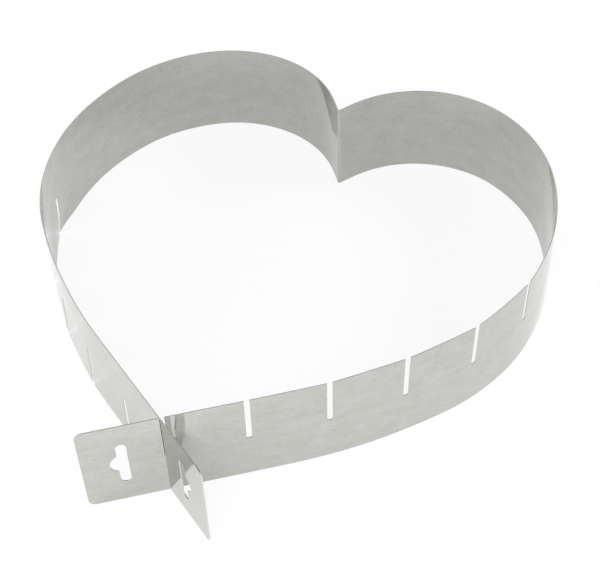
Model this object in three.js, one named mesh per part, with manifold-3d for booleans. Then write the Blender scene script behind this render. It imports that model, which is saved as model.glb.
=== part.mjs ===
// Adjustable heart-shaped cake ring: one thin strip of spring steel, folded sharply at the cleft, whose two slotted
// arms hook through each other at the tip and end in tabs with a hang hole. It has no floor.
// Millimetres, +Z up, tip towards -Y, standing on z = 0 with the origin under the middle of its outer box.
import * as THREE from 'three';
import { mergeVertices } from 'three/addons/utils/BufferGeometryUtils.js';
import Module from 'manifold-3d';

// The strip
const BAND_HEIGHT = 50;
const SHEET = 0.5;

// Plan of one half, from the fold to the tip, as tangent bends: radius, and turn in degrees
const FOLD_RADIUS = 1.5;
const FOLD_TURN = 62.5;
const LOBE_RADIUS = 58.5;
const LOBE_TURN = 90.5;
const SHOULDER_RADIUS = 78.5;
const SHOULDER_TURN = 34.5;
const FLANK_RADIUS = 112.5;
const FLANK_TURN = 66;
const ARM_RADIUS = 272;
const ARM_TURN = 16.7;

// Slots, counted back from the one that is hooked
const SLOT_COUNT = 6;
const SLOT_PITCH = 36;
const SLOT_WIDTH = 2.5;
// How far the leaves between slots spring straight at their free edge: 0 keeps the bend, 1 is a flat leaf
const LEAF_FLATNESS = 0.6;
// A leaf also leans out at its free edge, by the square of its rise over its chord, divided by these lengths: little
// on the right half, whose free edge is on top, more on the left half, whose free edge is its foot. The lobe beside the
// first slot leans out with the first leaf, and less over a run back from the slot.
const RIGHT_LEAN_RISE = 3.4;
const LEFT_LEAN_RISE = 1;
const LEAN_RUN = 22;

// Tabs past the crossing, and the hang hole in each: a round-ended slot with a nose towards the end
const RIGHT_TAB_LENGTH = 36;
const LEFT_TAB_LENGTH = 34;
const TAB_CORNER_RADIUS = 3.5;
const HOLE_FROM_END = 18;
const HOLE_LENGTH = 25.5;
const HOLE_WIDTH = 4.6;
const HOLE_NOSE_RADIUS = 5.3;
const HOLE_NOSE_REACH = 5.8;

// Air between the two hooked sheets, and at the line where the hook arm twists away from the lobe
const HOOK_CLEARANCE = 0.3;
const TWIST_GAP = 0.3;

// Facets: the largest turn and the longest run of one flat, and how far a cutter stands clear of what it cuts
const FACET_TURN = 3;
const FACET_LENGTH = 9;
const CUT_MARGIN = 3;

const STEEL = { color: 0xc8c9c5, metalness: 1, roughness: 0.25 };

const wasm = await Module();
wasm.setup();

const degrees = THREE.MathUtils.degToRad;

// Turns to the left are positive: the strip leaves the fold's apex along +X, opens to the left into the lobe, then
// bends to the right all the way to the tip.
const BENDS = [
  { radius: FOLD_RADIUS, turn: degrees(FOLD_TURN) },
  { radius: LOBE_RADIUS, turn: -degrees(LOBE_TURN) },
  { radius: SHOULDER_RADIUS, turn: -degrees(SHOULDER_TURN) },
  { radius: FLANK_RADIUS, turn: -degrees(FLANK_TURN) },
  { radius: ARM_RADIUS, turn: -degrees(ARM_TURN) },
];

// The point a distance d along a run of constant curvature.
function along(run, d) {
  const turned = run.curvature * d;
  const chord = run.curvature ? (2 * Math.sin(turned / 2)) / run.curvature : d;
  const bearing = run.heading + turned / 2;
  return {
    s: run.s + d,
    x: run.x + chord * Math.cos(bearing),
    y: run.y + chord * Math.sin(bearing),
    heading: run.heading + turned,
  };
}

// The bends one after another, each tangent to the last, then the straight tail.
function chain(bends) {
  const runs = [];
  let next = { s: 0, x: 0, y: 0, heading: 0 };
  for (const { radius, turn } of bends) {
    const run = { ...next, curvature: Math.sign(turn) / radius, length: radius * Math.abs(turn) };
    runs.push(run);
    next = along(run, run.length);
  }
  runs.push({ ...next, curvature: 0, length: 0 });
  return runs;
}

const RUNS = chain(BENDS);
const TAIL = RUNS.at(-1);

// Lengths along one half, from the fold: where the arms cross on the centre line, and the tab's end
const CROSSING = TAIL.s + TAIL.x / -Math.cos(TAIL.heading);
const tabEnd = (side) => CROSSING + (side > 0 ? RIGHT_TAB_LENGTH : LEFT_TAB_LENGTH);

// The hooked slot lets the other sheet lie near its tab-side wall. The arms cross at an angle, so the sheet takes up
// more of the slot than its thickness.
const CROSSING_ANGLE = 2 * TAIL.heading - Math.PI;
const SHEET_IN_SLOT = (SHEET * (1 + Math.abs(Math.cos(CROSSING_ANGLE)))) / Math.abs(Math.sin(CROSSING_ANGLE));
const HOOK_SLOT = CROSSING + SHEET_IN_SLOT / 2 + HOOK_CLEARANCE - SLOT_WIDTH / 2;
const SLOTS = Array.from({ length: SLOT_COUNT }, (_, k) => HOOK_SLOT - k * SLOT_PITCH);
const SLOT_DEPTH = BAND_HEIGHT / 2 + HOOK_CLEARANCE / 2;

// The lobe twists where it runs square to the arm, so that the arm lifts in its own plane.
const TWIST = lengthAtHeading(TAIL.heading + Math.PI / 2);

function lengthAtHeading(heading) {
  const run = RUNS.findLast((r) => r.curvature < 0 && r.heading >= heading);
  return run.s + (heading - run.heading) / run.curvature;
}

// A place on the strip by signed length from the fold: positive on the right half, negative on the left, its mirror.
// outward points along the strip to its tab, inward to the middle of the heart.
function place(s) {
  const side = s < 0 ? -1 : 1;
  const run = RUNS.findLast((r) => r.s <= Math.abs(s));
  const { x, y, heading } = along(run, Math.abs(s) - run.s);
  return {
    side,
    point: new THREE.Vector2(side * x, y),
    outward: new THREE.Vector2(side * Math.cos(heading), Math.sin(heading)),
    inward: new THREE.Vector2(side * Math.sin(heading), -Math.cos(heading)),
  };
}

// How far the free edge leans out on the leaf between slot k and the next one towards the tip.
function leafLean(k, side) {
  const from = place(SLOTS[k]).point;
  const to = place(SLOTS[k - 1]).point;
  const rise = place((SLOTS[k] + SLOTS[k - 1]) / 2).point.distanceTo(from.lerp(to, 0.5));
  return rise ** 2 / (side > 0 ? RIGHT_LEAN_RISE : LEFT_LEAN_RISE);
}

// How far a free edge springs from the bend: a leaf towards the chord between the slots beside it, and all outwards.
function leafSpring(s) {
  const length = Math.abs(s);
  const { side, point, inward } = place(s);
  const behind = SLOTS.findIndex((slot) => slot <= length);
  if (behind === 0) return new THREE.Vector2();
  if (behind < 0) {
    const first = SLOTS.at(-1);
    const share = THREE.MathUtils.smoothstep(length, first - LEAN_RUN, first);
    return inward.multiplyScalar(-leafLean(SLOT_COUNT - 1, side) * share);
  }
  const share = (length - SLOTS[behind]) / SLOT_PITCH;
  const from = place(side * SLOTS[behind]).point;
  const to = place(side * SLOTS[behind - 1]).point;
  const flatter = from.lerp(to, share).sub(point).multiplyScalar(LEAF_FLATNESS);
  return flatter.addScaledVector(inward, -leafLean(behind, side));
}

// Lengths along one half where the strip gets a section: the facets of each bend, and both sides of each slot, where
// the step from one leaf to the next is cut away.
function sectionMarks() {
  const marks = SLOTS.flatMap((slot) => [slot - SLOT_WIDTH / 3, slot + SLOT_WIDTH / 3]);
  for (const run of RUNS) {
    const turn = Math.abs(run.curvature) * run.length;
    const facets = Math.max(1, Math.ceil(turn / degrees(FACET_TURN)), Math.ceil(run.length / FACET_LENGTH));
    for (let i = 0; i < facets; i += 1) marks.push(run.s + (run.length * i) / facets);
  }
  return marks.sort((a, b) => a - b);
}

// The section at s: up the outer face and down the inner one, with a row at the foot, the slot roots and the top.
// The right half is slotted from the top edge and the left half from the bottom edge.
function section(s) {
  const { side, point, inward } = place(s);
  const spring = leafSpring(s);
  const rows = [0, BAND_HEIGHT / 2, BAND_HEIGHT];
  const freeEdge = side > 0 ? BAND_HEIGHT : 0;
  const face = (offset) =>
    rows.map((z) => {
      const p = point.clone().addScaledVector(inward, offset);
      if (z === freeEdge) p.add(spring);
      return [p.x, p.y, z];
    });
  return [...face(-SHEET / 2), ...face(SHEET / 2).reverse()];
}

// The strip between two signed lengths: sections carried along the path, skinned and capped.
function strip(from, to) {
  const half = sectionMarks();
  const marks = [...half.map((s) => -s).reverse(), ...half];
  const nearest = FOLD_RADIUS * degrees(FACET_TURN) * 0.5;
  const stations = [from];
  for (const s of marks) {
    if (s - stations.at(-1) > nearest && to - s > nearest) stations.push(s);
  }
  stations.push(to);

  const rings = stations.map(section);
  const size = rings[0].length;
  const index = [];
  for (let i = 0; i + 1 < rings.length; i += 1) {
    for (let j = 0; j < size; j += 1) {
      const a = i * size + j;
      const b = i * size + ((j + 1) % size);
      index.push(a, b, b + size, a, b + size, a + size);
    }
  }
  const cap = [0, 1, 4, 0, 4, 5, 1, 2, 3, 1, 3, 4];
  const last = (rings.length - 1) * size;
  index.push(...cap.toReversed(), ...cap.map((j) => last + j));

  const geometry = new THREE.BufferGeometry();
  geometry.setAttribute('position', new THREE.Float32BufferAttribute(rings.flat(2), 3));
  geometry.setIndex(index);
  return geometry;
}

// Stands a cutter on the strip: its x axis runs outward along the strip, its z axis up, its origin at height z.
function onStrip(geometry, s, z) {
  const { point, outward } = place(s);
  const x = new THREE.Vector3(outward.x, outward.y, 0);
  const up = new THREE.Vector3(0, 0, 1);
  const matrix = new THREE.Matrix4().makeBasis(x, up.clone().cross(x), up).setPosition(point.x, point.y, z);
  return geometry.applyMatrix4(matrix);
}

// A flat outline, drawn along the strip and up, made thick enough to pass through the sheet.
function through(shape) {
  const depth = SHEET + 2 * CUT_MARGIN;
  const arcSteps = 8;
  const geometry = new THREE.ExtrudeGeometry(shape, { depth, bevelEnabled: false, curveSegments: arcSteps });
  return geometry.translate(0, 0, -depth / 2).rotateX(Math.PI / 2);
}

// A slot from the free edge to just past half height.
function slotCutter(side, s) {
  const height = SLOT_DEPTH + CUT_MARGIN;
  const middle = SLOT_DEPTH - height / 2;
  const box = new THREE.BoxGeometry(SLOT_WIDTH, SHEET + 2 * CUT_MARGIN, height);
  return onStrip(box, side * s, side > 0 ? BAND_HEIGHT - middle : middle);
}

// The hang hole: a round-ended slot across the strip, with a round nose towards the tab's end.
function holeCutter(side) {
  const r = HOLE_WIDTH / 2;
  const straight = HOLE_LENGTH / 2 - r;
  const noseCentre = HOLE_NOSE_REACH - HOLE_NOSE_RADIUS;
  const noseAngle = Math.acos((r - noseCentre) / HOLE_NOSE_RADIUS);
  const outline = new THREE.Shape();
  outline.moveTo(-r, -straight);
  outline.absarc(0, -straight, r, Math.PI, 2 * Math.PI, false);
  outline.absarc(noseCentre, 0, HOLE_NOSE_RADIUS, -noseAngle, noseAngle, false);
  outline.absarc(0, straight, r, 0, Math.PI, false);
  outline.closePath();
  return onStrip(through(outline), side * (tabEnd(side) - HOLE_FROM_END), BAND_HEIGHT / 2);
}

// What rounds a corner of the tab: all that lies outside a quarter circle.
function cornerCutter(side, top) {
  const r = TAB_CORNER_RADIUS;
  const outside = new THREE.Shape();
  outside.moveTo(-r, 0);
  outside.absarc(-r, -r, r, Math.PI / 2, 0, true);
  outside.lineTo(CUT_MARGIN, -r);
  outside.lineTo(CUT_MARGIN, CUT_MARGIN);
  outside.lineTo(-r, CUT_MARGIN);
  outside.closePath();
  const cutter = through(outside);
  if (!top) cutter.rotateX(Math.PI);
  return onStrip(cutter, side * tabEnd(side), top ? BAND_HEIGHT : 0);
}

// Every cut on both halves, with the signed length where it is made.
function cuts() {
  const list = [];
  for (const side of [-1, 1]) {
    for (const s of SLOTS) list.push({ s: side * s, cutter: slotCutter(side, s) });
    list.push({ s: side * tabEnd(side), cutter: holeCutter(side) });
    list.push({ s: side * tabEnd(side), cutter: cornerCutter(side, true) });
    list.push({ s: side * tabEnd(side), cutter: cornerCutter(side, false) });
  }
  return list;
}

function toSolid(geometry) {
  const bare = geometry.clone();
  bare.deleteAttribute('normal');
  bare.deleteAttribute('uv');
  const merged = mergeVertices(bare);
  const vertProperties = new Float32Array(merged.attributes.position.array);
  const triVerts = new Uint32Array(merged.index.array);
  return new wasm.Manifold(new wasm.Mesh({ numProp: 3, vertProperties, triVerts }));
}

function toGeometry(solid) {
  const { vertProperties, triVerts } = solid.getMesh();
  const geometry = new THREE.BufferGeometry();
  geometry.setAttribute('position', new THREE.BufferAttribute(vertProperties, 3));
  geometry.setIndex(new THREE.BufferAttribute(triVerts, 1));
  geometry.computeVertexNormals();
  return geometry;
}

// A piece of the strip with the cuts that fall on it.
function piece(name, from, to) {
  let solid = toSolid(strip(from, to));
  for (const { s, cutter } of cuts()) {
    if (s >= from && s <= to) solid = solid.subtract(toSolid(cutter));
  }
  const mesh = new THREE.Mesh(toGeometry(solid), new THREE.MeshStandardMaterial(STEEL));
  mesh.name = name;
  return mesh;
}

const ring = new THREE.Group();
ring.add(piece('heart_band', -(TWIST - TWIST_GAP / 2), tabEnd(1)));
ring.add(piece('hook_arm', -tabEnd(-1), -(TWIST + TWIST_GAP / 2)));

const outerBox = new THREE.Box3().setFromObject(ring);
const middle = outerBox.getCenter(new THREE.Vector3());
ring.position.set(-middle.x, -middle.y, -outerBox.min.z);

export default ring;
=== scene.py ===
import math

import bpy
import numpy as np
from mathutils import Matrix, Vector


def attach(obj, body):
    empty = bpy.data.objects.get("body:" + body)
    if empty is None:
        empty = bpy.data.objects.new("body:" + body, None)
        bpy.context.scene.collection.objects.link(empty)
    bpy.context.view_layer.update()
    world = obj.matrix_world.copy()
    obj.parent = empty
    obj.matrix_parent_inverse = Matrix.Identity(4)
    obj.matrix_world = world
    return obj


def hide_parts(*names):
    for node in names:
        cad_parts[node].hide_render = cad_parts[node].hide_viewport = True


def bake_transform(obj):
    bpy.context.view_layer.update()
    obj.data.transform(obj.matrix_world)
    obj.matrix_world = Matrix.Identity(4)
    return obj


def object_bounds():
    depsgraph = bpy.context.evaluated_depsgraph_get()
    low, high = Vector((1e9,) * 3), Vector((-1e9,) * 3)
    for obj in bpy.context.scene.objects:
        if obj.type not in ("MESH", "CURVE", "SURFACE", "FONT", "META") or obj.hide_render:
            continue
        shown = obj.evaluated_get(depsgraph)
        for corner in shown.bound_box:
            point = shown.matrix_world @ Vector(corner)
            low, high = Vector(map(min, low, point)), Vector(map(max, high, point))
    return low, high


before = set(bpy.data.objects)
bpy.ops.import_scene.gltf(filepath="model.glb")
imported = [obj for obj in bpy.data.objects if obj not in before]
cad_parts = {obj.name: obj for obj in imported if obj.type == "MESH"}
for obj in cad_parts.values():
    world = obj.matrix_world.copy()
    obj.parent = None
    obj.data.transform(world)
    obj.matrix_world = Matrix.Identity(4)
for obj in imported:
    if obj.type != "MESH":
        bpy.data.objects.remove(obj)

CAD_LOW, CAD_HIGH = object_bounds()
MM = 0.001

# The strip
BAND_HEIGHT = CAD_HIGH.z - CAD_LOW.z
SHEET = 0.5 * MM
EDGE_CHAMFER = 0.06 * MM

# Plan of one half from the fold to the tip: the radius of each bend, and its turn in degrees, left positive
FOLD = (0.9 * MM, 57.0)
FLANGE = (148.0 * MM, -4.05)
LOBE = (58.2 * MM, -80.4)
SHOULDER = (78.4 * MM, -35.05)
FLANK = (112.5 * MM, -66.0)
ARM = (272.0 * MM, -16.7)
BENDS = (FOLD, FLANGE, LOBE, SHOULDER, FLANK, ARM)

# Slots, counted back from the hooked one, and how straight the leaves between them spring at their free edge
SLOT_COUNT = 6
SLOT_PITCH = 36.0 * MM
SLOT_WIDTH = 2.5 * MM
LEAF_FLATNESS = 0.6
HOOK_CLEARANCE = 0.15 * MM

# How far the free edge leans out at each slot, from the lobe to the hooked one, as the strip was bent by
# hand: little on the right half (1), whose free edge is on top, more on the left half (-1), whose free edge
# is its foot. The lobe beside the first slot leans out with it, and less over a run back from the slot.
LEANS = {
    1: np.array([0.6, 0.6, 0.45, 0.2, 0.1, 0.0]) * MM,
    -1: np.array([2.1, 0.4, 0.9, 0.7, 0.3, 0.0]) * MM,
}
LEAN_RUN = 22.0 * MM

# Tabs past the crossing, each with a hang hole: a round-ended slot with a nose towards the end
RIGHT_TAB_LENGTH = 36.0 * MM
LEFT_TAB_LENGTH = 34.0 * MM
TAB_CORNER_RADIUS = 3.5 * MM
HOLE_FROM_END = 18.0 * MM
HOLE_LENGTH = 25.5 * MM
HOLE_WIDTH = 4.6 * MM
HOLE_NOSE_RADIUS = 5.3 * MM
HOLE_NOSE_REACH = 5.8 * MM
# The higher the power, the smaller the fillet where the nose leaves the slot
HOLE_FILLET_POWER = 14

# The sheet's own slight waves, left by rolling and by hand
RIPPLE_HEIGHT = 0.05 * MM
RIPPLE_LENGTH = 47.0 * MM
RIPPLE_TILT = 31.0 * MM

# Mesh: steps along the strip, in the fold, up the strip and round the tabs, points in a tab's corner, rings
# from a hang hole to the tab's outline, how near points are welded, and the angle where shading breaks
GRID_STEP = 1.4 * MM
FOLD_STEP = 0.08 * MM
ROW_STEP = 2.4 * MM
TAB_STEP = 0.7 * MM
CORNER_POINTS = 13
TAB_RINGS = 9
WELD = 0.002 * MM
SHARP_ANGLE = math.radians(30)


def plan_runs():
    """Lays the bends end to end, each tangent to the last, and then the straight tail.

    A row holds a run's length from the fold, its starting point and heading, and its curvature. A bend of
    radius r and turn a has the chord 2 r sin(a / 2), laid halfway between its first and last heading.
    """
    rows = []
    s = x = y = heading = 0.0
    for radius, degrees in BENDS:
        turn = math.radians(degrees)
        rows.append((s, x, y, heading, math.copysign(1 / radius, turn)))
        chord = 2 * radius * math.sin(abs(turn) / 2)
        x += chord * math.cos(heading + turn / 2)
        y += chord * math.sin(heading + turn / 2)
        s += radius * abs(turn)
        heading += turn
    rows.append((s, x, y, heading, 0.0))
    return np.array(rows)


RUNS = plan_runs()
TAIL_START, TAIL_X, _, TAIL_HEADING, _ = RUNS[-1]


def on_plan(s):
    """Point and heading at lengths s from the fold.

    From the start of its run the point lies off by a chord at the mean bearing: the length d along the run
    times sin(h) / h, where h is half the turn made in d.
    """
    start, x, y, heading, curvature = RUNS[np.searchsorted(RUNS[:, 0], s, side="right") - 1].T
    turned = curvature * (s - start)
    chord = (s - start) * np.sinc(turned / math.tau)
    bearing = heading + turned / 2
    return np.stack([x + chord * np.cos(bearing), y + chord * np.sin(bearing)], -1), heading + turned


# Lengths from the fold: where the arms cross on the centre line, the slots, and the tab
CROSSING = TAIL_START - TAIL_X / math.cos(TAIL_HEADING)
CROSSING_ANGLE = 2 * TAIL_HEADING - math.pi
SHEET_IN_SLOT = SHEET * (1 + abs(math.cos(CROSSING_ANGLE))) / abs(math.sin(CROSSING_ANGLE))
HOOK_SLOT = CROSSING + SHEET_IN_SLOT / 2 + HOOK_CLEARANCE - SLOT_WIDTH / 2
SLOTS = HOOK_SLOT - SLOT_PITCH * np.arange(SLOT_COUNT)[::-1]
SLOT_DEPTH = BAND_HEIGHT / 2 + HOOK_CLEARANCE / 2
TAB_START = HOOK_SLOT + SLOT_WIDTH / 2
TAB_ENDS = {1: CROSSING + RIGHT_TAB_LENGTH, -1: CROSSING + LEFT_TAB_LENGTH}

# Where the fold's apex lies in the frame: the lobes' backs touch the far side of the solids' box
LOBE_BACK = on_plan(np.arange(0, TAIL_START, GRID_STEP))[0][:, 1].max()
APEX_Y = CAD_HIGH.y - SHEET / 2 - LOBE_BACK


def fill(marks, step):
    """Numbers that run through all marks, evenly spaced from mark to mark and at most a step apart."""
    marks = np.unique(marks)
    counts = np.ceil(np.diff(marks) / step).astype(int)
    runs = [np.linspace(a, b, n, endpoint=False) for a, b, n in zip(marks[:-1], marks[1:], counts)]
    return np.append(np.concatenate(runs), marks[-1])


def smooth(t):
    """Eases from 0 to 1: 3 t squared less 2 t cubed, with t held between 0 and 1."""
    t = np.clip(t, 0, 1)
    return t * t * (3 - 2 * t)


def hole_rim(angle):
    """Distance from the hang hole's middle to its rim, at angles from the strip's outward direction.

    The slot's rim is its straight wall where the ray meets that before the round end, and otherwise the end's
    circle. The nose is a circle on the outward side. A power mean of the two joins them with a small fillet.
    """
    outward = np.cos(angle)
    up = np.abs(np.sin(angle))
    r = HOLE_WIDTH / 2
    reach = HOLE_LENGTH / 2 - r
    wall = r / np.maximum(np.abs(outward), r / HOLE_LENGTH)
    end = reach * up + np.sqrt(np.maximum(r**2 - (reach * outward) ** 2, 0))
    slot = np.where(wall * up <= reach, wall, end)
    centre = HOLE_NOSE_REACH - HOLE_NOSE_RADIUS
    nose = centre * outward + np.sqrt(HOLE_NOSE_RADIUS**2 - (centre * up) ** 2)
    nose = np.where(outward > 0, nose, 0) / HOLE_LENGTH
    p = HOLE_FILLET_POWER
    return HOLE_LENGTH * ((slot / HOLE_LENGTH) ** p + nose**p) ** (1 / p)


def tab_outline(end, rows):
    """Closed outline of the flat tab up to its end, counter-clockwise: a rectangle with round end corners.

    Its side at the strip has a point at every row of the strip's grid, so that the two can be welded.
    """
    r = TAB_CORNER_RADIUS
    run = fill([TAB_START, end - HOLE_FROM_END, end - r], TAB_STEP)
    rise = fill([r, BAND_HEIGHT / 2, BAND_HEIGHT - r], TAB_STEP)
    turn = np.linspace(0, math.pi / 2, CORNER_POINTS)
    corner = r * np.stack([np.sin(turn), 1 - np.cos(turn)], -1)
    foot = np.stack([run, 0 * run], -1)
    edge = np.stack([end + 0 * rise, rise], -1)
    low_corner = corner + (end - r, 0)
    flip = np.array([1, -1])
    high_corner = (low_corner * flip + (0, BAND_HEIGHT))[::-1]
    top = (foot * flip + (0, BAND_HEIGHT))[::-1]
    side = np.stack([TAB_START + 0 * rows, rows], -1)[::-1]
    return np.concatenate([part[:-1] for part in (side, foot, low_corner, edge, high_corner, top)])


def grid_quads(index):
    """Quads between neighbouring rows and columns of a grid of point numbers, counter-clockwise."""
    return np.stack([index[:-1, :-1], index[:-1, 1:], index[1:, 1:], index[1:, :-1]], -1)


def flat_strip(side):
    """The flat blank of one half: points (s, z) and quads, counter-clockwise.

    The band is a grid with lines on every slot wall and slot root, without the quads that lie in a slot. The
    tab is a ring of quads from the hole's rim to the tab's outline, each ray divided evenly, welded to the
    band's end.
    """
    fold_end = RUNS[1, 0]
    walls = np.concatenate([SLOTS - SLOT_WIDTH / 2, SLOTS + SLOT_WIDTH / 2])
    arm = fill([fold_end, *RUNS[2:, 0], *walls], GRID_STEP)
    columns = np.concatenate([fill([0, fold_end], FOLD_STEP)[:-1], arm])
    root = BAND_HEIGHT - SLOT_DEPTH if side > 0 else SLOT_DEPTH
    rows = fill([0, root, BAND_HEIGHT], ROW_STEP)
    band = np.stack(np.meshgrid(columns, rows), -1)
    quads = grid_quads(np.arange(band[..., 0].size).reshape(band.shape[:2]))
    middle_s = (columns[1:] + columns[:-1]) / 2
    middle_z = (rows[1:] + rows[:-1]) / 2
    in_slot = (np.abs(middle_s[:, None] - SLOTS) < SLOT_WIDTH / 2).any(1)
    slotted = (middle_z - root) * side > 0
    quads = quads[~(slotted[:, None] & in_slot)]

    outline = tab_outline(TAB_ENDS[side], rows)
    centre = np.array([TAB_ENDS[side] - HOLE_FROM_END, BAND_HEIGHT / 2])
    ray = outline - centre
    length = np.linalg.norm(ray, axis=1)
    rim = hole_rim(np.arctan2(ray[:, 1], ray[:, 0]))
    share = np.linspace(0, 1, TAB_RINGS)
    reach = rim / length + (1 - rim / length) * share[:, None]
    tab = centre + ray * reach[..., None]
    index = band[..., 0].size + np.arange(tab[..., 0].size).reshape(tab.shape[:2])
    ring = grid_quads(np.append(index, index[:, :1], axis=1).T)

    points = np.concatenate([band.reshape(-1, 2), tab.reshape(-1, 2)])
    keys = np.round(points / WELD).astype(np.int64)
    _, kept, number = np.unique(keys, axis=0, return_index=True, return_inverse=True)
    return points[kept], number.ravel()[np.concatenate([quads, ring.reshape(-1, 4)])]


def bend(flat, offset, side):
    """Bends points (s, z) of the blank to the plan, each moved by offset along the inward normal.

    The inward normal is (sin heading, -cos heading). A free edge springs from the bend: a leaf between slots
    moves by LEAF_FLATNESS towards its chord, and outwards by its lean, which runs evenly from slot to slot.
    Away from the edge the spring is that of a clamped spring leaf: (3 t squared - t cubed) / 2 at the share t
    of the slots' depth. A low wave, the sine of a full turn times s / length + z / tilt, lifts the sheet
    between the fold and the hooked end. The left half is the right one's mirror image in x, slotted from its
    foot.
    """
    s, z = flat.T
    point, heading = on_plan(s)
    inward = np.stack([np.sin(heading), -np.cos(heading)], -1)

    ends = on_plan(SLOTS)[0]
    chord = np.stack([np.interp(s, SLOTS, ends[:, i]) for i in range(2)], -1)
    on_leaf = (s > SLOTS[0]) & (s < SLOTS[-1])
    lean = np.interp(s, SLOTS, LEANS[side]) * smooth(1 - (SLOTS[0] - s) / LEAN_RUN)
    spring = (chord - point) * (LEAF_FLATNESS * on_leaf)[:, None] - inward * lean[:, None]
    t = np.clip(1 - (BAND_HEIGHT - z if side > 0 else z) / SLOT_DEPTH, 0, 1)
    point = point + spring * (t * t * (3 - t) / 2)[:, None]

    calm = smooth(s / RIPPLE_LENGTH) * smooth((HOOK_SLOT - s) / RIPPLE_LENGTH - 1)
    wave = RIPPLE_HEIGHT * calm * np.sin(math.tau * (s / RIPPLE_LENGTH + z / RIPPLE_TILT))
    point = point + inward * (offset + wave)[:, None]
    return np.stack([side * point[:, 0], APEX_Y + point[:, 1], CAD_LOW.z + z], -1)


def strip_half(name, side, materials):
    """One half of the strip as a closed sheet: a face on either side of the bent blank, and its cut edges.

    The faces lie half the thickness off the blank. Each free edge, other than at the fold, gets three bands
    of quads: a chamfer, the sheared edge and a chamfer. For those the faces are drawn in from the edge by the
    chamfer, along the mitre of the edge's normals.
    """
    flat, quads = flat_strip(side)
    edges = np.stack([quads, np.roll(quads, -1, axis=1)], -1).reshape(-1, 2)
    _, used_by, uses = np.unique(np.sort(edges, 1), axis=0, return_inverse=True, return_counts=True)
    edges = edges[uses[used_by.ravel()] == 1]
    at_fold = (flat[edges, 0] < WELD).all(1)
    seam = edges[at_fold]
    edges = edges[~at_fold]

    run = flat[edges[:, 1]] - flat[edges[:, 0]]
    normal = np.stack([run[:, 1], -run[:, 0]], -1) / np.linalg.norm(run, axis=1)[:, None]
    mitre = np.zeros_like(flat)
    meeting = np.zeros(len(flat))
    np.add.at(mitre, edges.T, normal)
    np.add.at(meeting, edges.T, 1)
    rim = np.flatnonzero(meeting)
    mitre[rim] *= (meeting[rim] / (mitre[rim] ** 2).sum(1))[:, None]
    face = flat - EDGE_CHAMFER * mitre

    half = SHEET / 2
    edge = half - EDGE_CHAMFER
    layers = ((face, -half), (flat[rim], -edge), (flat[rim], edge), (face, half))
    vertices = np.concatenate([bend(at, np.full(len(at), offset), side) for at, offset in layers])
    blank = np.concatenate([at for at, _ in layers])
    count = len(flat)
    on_rim = np.zeros(count, int)
    on_rim[rim] = count + np.arange(len(rim))
    every = np.arange(count)
    level = np.stack([every, on_rim, on_rim + len(rim), every + count + 2 * len(rim)])
    a, b = level[:, edges].transpose(2, 0, 1)
    bands = np.stack([a[:-1], b[:-1], b[1:], a[1:]], -1).reshape(-1, 4)
    c, d = level[:, seam].transpose(2, 0, 1)
    fold_cut = np.stack([c[0], d[0], d[3], c[3]], -1)
    ends = np.flatnonzero((meeting == 1) & (flat[:, 0] < WELD))
    foot, top = ends[np.argsort(flat[ends, 1])]
    fold_ends = np.stack([level[:, foot], level[::-1, top]])
    faces = np.concatenate([level[3][quads], level[0][quads][:, ::-1], bands, fold_cut, fold_ends])
    if side < 0:
        faces = faces[:, ::-1]

    mesh = bpy.data.meshes.new(name)
    mesh.from_pydata(vertices.tolist(), [], faces.tolist())
    corner = np.empty(len(mesh.loops), np.int32)
    mesh.loops.foreach_get("vertex_index", corner)
    uv = mesh.uv_layers.new(name="blank").uv
    uv.foreach_set("vector", blank[corner].astype(np.float32).ravel())
    for material in materials:
        mesh.materials.append(material)
    finish = np.repeat([0, 1], [2 * len(quads), len(faces) - 2 * len(quads)])
    mesh.polygons.foreach_set("material_index", finish.astype(np.int32))
    mesh.polygons.foreach_set("use_smooth", np.ones(len(faces), bool))
    mesh.set_sharp_from_angle(angle=SHARP_ANGLE)
    mesh.update()
    piece = bpy.data.objects.new(name, mesh)
    bpy.context.collection.objects.link(piece)
    return piece


# Sockets of a Mix node, whose names repeat: its factor, its two numbers and two colours, and its results
FACTOR, NUMBER_A, NUMBER_B, COLOUR_A, COLOUR_B = 0, 2, 3, 6, 7
MIXED_NUMBER, MIXED_COLOUR = 0, 2


def linear(code):
    """Linear colour of an sRGB hex code: c / 12.92 if dark, else ((c + 0.055) / 1.055) to the power 2.4."""
    c = np.array([int(code[i:i + 2], 16) for i in (1, 3, 5)]) / 255
    return (*np.where(c <= 0.04045, c / 12.92, ((c + 0.055) / 1.055) ** 2.4), 1.0)


def add(tree, kind, inputs, **settings):
    """Adds a shader node with its settings. An input given a socket is linked to it, any other is set."""
    node = tree.nodes.new("ShaderNode" + kind)
    for name, value in settings.items():
        setattr(node, name, value)
    for name, value in inputs.items():
        if isinstance(value, bpy.types.NodeSocket):
            tree.links.new(value, node.inputs[name])
        else:
            node.inputs[name].default_value = value
    return node


def new_material(name):
    """An empty node material, its tree and its output node."""
    material = bpy.data.materials.new(name)
    material.use_nodes = True
    tree = material.node_tree
    tree.nodes.clear()
    return material, tree, add(tree, "OutputMaterial", {})


# Patterns on the steel: their real lengths along the strip and widths across it. Rolling lines lie under
# 0.1 mm apart, and are drawn this coarse to show at all.
LINES = (25.0 * MM, 0.7 * MM)
FLECKS = (2.6 * MM, 1.2 * MM)
CLOUDS = (11.0 * MM, 6.0 * MM)
SHEAR_GRAIN = 0.5 * MM
NOISE_DETAIL = 2.0
# Most of a noise lies between these values
NOISE_SPAN = {"From Min": 0.3, "From Max": 0.7}

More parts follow.
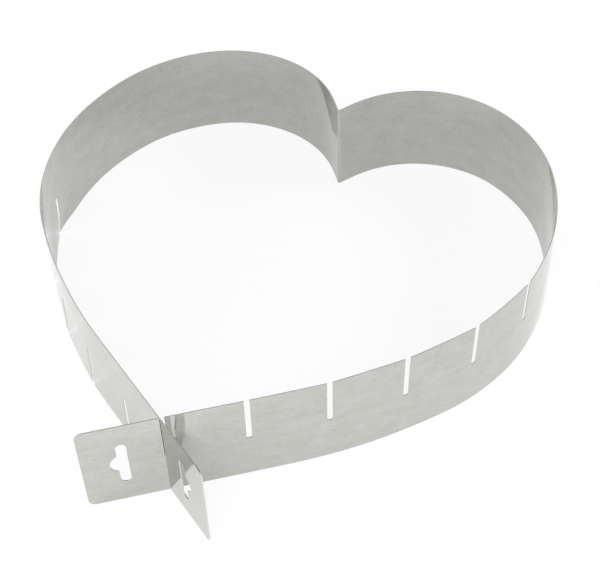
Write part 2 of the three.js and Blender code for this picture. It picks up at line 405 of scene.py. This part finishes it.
# Finishes: the darkest and lightest tone, the roughness, the lines' share of the marks, the clouds' share of
# the tone, and the lines' relief
STEEL_TONES = ("#B8B8B3", "#C9C9C5")
STEEL_ROUGHNESS = (0.05, 0.1)
LINE_SHARE = 0.3
CLOUD_SHARE = 0.4
LINE_DEPTH = 0.01 * MM
LINE_RELIEF = 0.1
EDGE_TONES = ("#CFCFC9", "#DFDFDB")
EDGE_ROUGHNESS = 0.15


def cold_rolled_stainless():
    """Bright cold-rolled stainless sheet: a pale, faintly warm grey mirror blurred by the rolls.

    The eye gets soft reflections, hair-fine lines along the strip, the rolls' short flecks between them and
    slight clouds where the strip has been handled.
    """
    material, tree, output = new_material("bright_rolled_stainless")
    blank = add(tree, "UVMap", {}, uv_map="blank").outputs["UV"]
    patterns = []
    for length, width in (LINES, FLECKS, CLOUDS):
        along = add(tree, "Mapping", {"Vector": blank, "Scale": (1 / length, 1 / width, 1.0)})
        noise = {"Vector": along.outputs["Vector"], "Scale": 1.0, "Detail": NOISE_DETAIL}
        patterns.append(add(tree, "TexNoise", noise).outputs["Fac"])
    lines, flecks, clouds = patterns
    marks = {FACTOR: LINE_SHARE, NUMBER_A: flecks, NUMBER_B: lines}
    marks = add(tree, "Mix", marks, data_type="FLOAT").outputs[MIXED_NUMBER]
    tone = {FACTOR: CLOUD_SHARE, NUMBER_A: marks, NUMBER_B: clouds}
    tone = add(tree, "Mix", tone, data_type="FLOAT").outputs[MIXED_NUMBER]
    shade = add(tree, "MapRange", {"Value": tone, **NOISE_SPAN}).outputs["Result"]
    dark, light = STEEL_TONES
    tones = {FACTOR: shade, COLOUR_A: linear(dark), COLOUR_B: linear(light)}
    smoothest, roughest = STEEL_ROUGHNESS
    rough = {"Value": clouds, **NOISE_SPAN, "To Min": smoothest, "To Max": roughest}
    bump = {"Height": lines, "Strength": LINE_RELIEF, "Distance": LINE_DEPTH}
    steel = add(tree, "BsdfPrincipled", {
        "Base Color": add(tree, "Mix", tones, data_type="RGBA").outputs[MIXED_COLOUR],
        "Metallic": 1.0,
        "Roughness": add(tree, "MapRange", rough).outputs["Result"],
        "Normal": add(tree, "Bump", bump).outputs["Normal"],
    })
    tree.links.new(steel.outputs["BSDF"], output.inputs["Surface"])
    return material


def sheared_steel():
    """Cut edge of the sheet, burnished by the shear: clean bright steel, rougher than the rolled faces.

    The eye gets a thin line along every edge, darker on top, where it mirrors the upper walls, and broken by
    the shear's grain.
    """
    material, tree, output = new_material("sheared_steel_edge")
    place = add(tree, "TexCoord", {}).outputs["Object"]
    grain = {"Vector": place, "Scale": 1 / SHEAR_GRAIN, "Detail": NOISE_DETAIL}
    grain = add(tree, "TexNoise", grain).outputs["Fac"]
    dark, light = EDGE_TONES
    tones = {FACTOR: grain, COLOUR_A: linear(dark), COLOUR_B: linear(light)}
    steel = add(tree, "BsdfPrincipled", {
        "Base Color": add(tree, "Mix", tones, data_type="RGBA").outputs[MIXED_COLOUR],
        "Metallic": 1.0,
        "Roughness": EDGE_ROUGHNESS,
    })
    tree.links.new(steel.outputs["BSDF"], output.inputs["Surface"])
    return material


STEEL = (cold_rolled_stainless(), sheared_steel())

right_half = strip_half("right_half", 1, STEEL)
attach(right_half, "band")
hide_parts("heart_band")

# The left half, built at rest; on the ring it twists round its lobe, from the fold's side to the first slot,
# as the arm lifts
FOLD_APEX = Vector((0, APEX_Y, 0))
left_half = strip_half("left_half", -1, STEEL)
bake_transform(left_half)
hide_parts("hook_arm")

# Camera, solved from the strip's edges in the photograph
IMAGE_WIDTH = 600
FOCAL_PIXELS = 1300.796
SENSOR = 36.0
CAMERA_PLACE = FOLD_APEX + Vector((185.056, -498.408, 473.135)) * MM
YAW = math.radians(-22.905)
PITCH = math.radians(46.5317)
ROLL = math.radians(2.1152)


def photo_camera():
    """A camera at CAMERA_PLACE that looks along +Y turned by the yaw, down by the pitch, and then rolled."""
    forward = Vector((math.sin(YAW) * math.cos(PITCH), math.cos(YAW) * math.cos(PITCH), -math.sin(PITCH)))
    level = Vector((math.cos(YAW), -math.sin(YAW), 0))
    down = forward.cross(level)
    right = math.cos(ROLL) * level + math.sin(ROLL) * down
    up = forward.cross(right) * -1
    data = bpy.data.cameras.new("photo_camera")
    data.sensor_width = SENSOR
    data.lens = SENSOR * FOCAL_PIXELS / IMAGE_WIDTH
    camera = bpy.data.objects.new("photo_camera", data)
    camera.matrix_world = Matrix((right, up, -forward)).transposed().to_4x4()
    camera.location = CAMERA_PLACE
    bpy.context.collection.objects.link(camera)
    bpy.context.scene.camera = camera


photo_camera()

# Studio: white paper on the table and round the set, a dim ceiling, a softbox high in front, one behind on
# each side and two low ones in front. Lengths are in metres and angles in degrees.
FLOOR_SIZE = 12.0
FLOOR_DROP = 0.05 * MM
PAPER_TONE = "#F6F6F6"
WHITE = (1.0, 1.0, 1.0, 1.0)
# Share of the paper's light that is its own near the ring and in the metal, and where it grows to all of it
FLOOR_GLOW = 0.9
FLOOR_GLOW_IN_METAL = 0.55
FLOOR_FADE = (0.35, 0.9)
# Share of the walls' light that falls on matt surfaces
SKY_LIGHT = 0.07
# Elevations between which the walls darken, and the share that is left: the upper walls, then the ceiling
UPPER_WALLS = (10, 30, 0.65)
CEILING = (51, 53, 0.25)
SOFTBOX_DISTANCE = 1.3
# Bearing from the middle, elevation, width, height and watts
SOFTBOXES = {
    "top_softbox": (-90, 65, 1.2, 1.2, 7.2),
    "right_softbox": (30, 32, 0.9, 0.3, 13.2),
    "left_softbox": (160, 25, 0.9, 0.3, 4.3),
    "low_left_softbox": (-150, 14, 1.2, 0.2, 22.0),
    "low_front_softbox": (-70, 10, 1.2, 0.2, 31.0),
}


def mirrored(tree, path):
    """1 where a surface is met by a ray that left a mirroring or clear one, else 0."""
    rays = {0: path["Is Glossy Ray"], 1: path["Is Transmission Ray"]}
    return add(tree, "Math", rays, operation="MAXIMUM").outputs[0]


def studio_floor():
    """White paper under the ring: a matt sheet that keeps the ring's shadow.

    A share of its light is its own, so that it is seen as white: most of it near the ring, all of it farther
    off, and about half of it where the metal mirrors the paper.
    """
    material, tree, output = new_material("matt_white_paper")
    path = add(tree, "LightPath", {}).outputs
    place = add(tree, "TexCoord", {}).outputs["Object"]
    away = add(tree, "VectorMath", {0: place}, operation="LENGTH").outputs["Value"]
    near, far = FLOOR_FADE
    fade = {"Value": away, "From Min": near, "From Max": far, "To Min": FLOOR_GLOW, "To Max": 1.0}
    in_view = add(tree, "MapRange", fade).outputs["Result"]
    share = {0: mirrored(tree, path), 1: FLOOR_GLOW_IN_METAL}
    in_metal = add(tree, "Math", share, operation="MULTIPLY").outputs[0]
    own = {0: path["Is Camera Ray"], 1: in_view, 2: in_metal}
    glow = add(tree, "Math", own, operation="MULTIPLY_ADD").outputs[0]
    paper = add(tree, "BsdfDiffuse", {"Color": linear(PAPER_TONE)}).outputs["BSDF"]
    white = add(tree, "Emission", {"Color": WHITE, "Strength": 1.0}).outputs["Emission"]
    mixed = add(tree, "MixShader", {0: glow, 1: paper, 2: white})
    tree.links.new(mixed.outputs["Shader"], output.inputs["Surface"])
    half = FLOOR_SIZE / 2
    corners = [(-half, -half), (half, -half), (half, half), (-half, half)]
    mesh = bpy.data.meshes.new("studio_floor")
    mesh.from_pydata([(x, y, CAD_LOW.z - FLOOR_DROP) for x, y in corners], [], [(0, 1, 2, 3)])
    mesh.materials.append(material)
    floor = bpy.data.objects.new("studio_floor", mesh)
    bpy.context.collection.objects.link(floor)


def studio_walls():
    """White paper all round, seen as white, and above it a dim ceiling that the strip's top edge mirrors."""
    world = bpy.data.worlds.new("studio_walls")
    bpy.context.scene.world = world
    world.use_nodes = True
    tree = world.node_tree
    tree.nodes.clear()
    path = add(tree, "LightPath", {}).outputs
    lift = {"Value": mirrored(tree, path), "To Min": SKY_LIGHT, "To Max": 1.0}
    level = add(tree, "MapRange", lift).outputs["Result"]
    direction = add(tree, "TexCoord", {}).outputs["Generated"]
    height = add(tree, "SeparateXYZ", {"Vector": direction}).outputs["Z"]
    for start, end, share in (UPPER_WALLS, CEILING):
        tone = add(tree, "MapRange", {
            "Value": height,
            "From Min": math.sin(math.radians(start)),
            "From Max": math.sin(math.radians(end)),
            "To Min": 1.0,
            "To Max": share,
        }, interpolation_type="SMOOTHSTEP").outputs["Result"]
        level = add(tree, "Math", {0: tone, 1: level}, operation="MULTIPLY").outputs[0]
    seen = add(tree, "Math", {0: path["Is Camera Ray"], 1: level}, operation="MAXIMUM").outputs[0]
    walls = add(tree, "Background", {"Color": WHITE, "Strength": seen}).outputs["Background"]
    add(tree, "OutputWorld", {"Surface": walls})


def softbox(name, bearing, elevation, width, height, watts):
    """A wide soft light that stands off from the ring, turned to its middle, and isn't seen in the metal."""
    data = bpy.data.lights.new(name, "AREA")
    data.shape = "RECTANGLE"
    data.size = width
    data.size_y = height
    data.energy = watts
    lamp = bpy.data.objects.new(name, data)
    around = math.radians(bearing)
    above = math.radians(elevation)
    level = math.cos(above)
    towards = Vector((math.cos(around) * level, math.sin(around) * level, math.sin(above)))
    lamp.location = towards * SOFTBOX_DISTANCE
    lamp.rotation_euler = towards.to_track_quat("Z", "Y").to_euler()
    lamp.visible_camera = False
    lamp.visible_glossy = False
    bpy.context.collection.objects.link(lamp)


studio_floor()
studio_walls()
for box, values in SOFTBOXES.items():
    softbox(box, *values)
bpy.context.scene.view_settings.view_transform = "Standard"
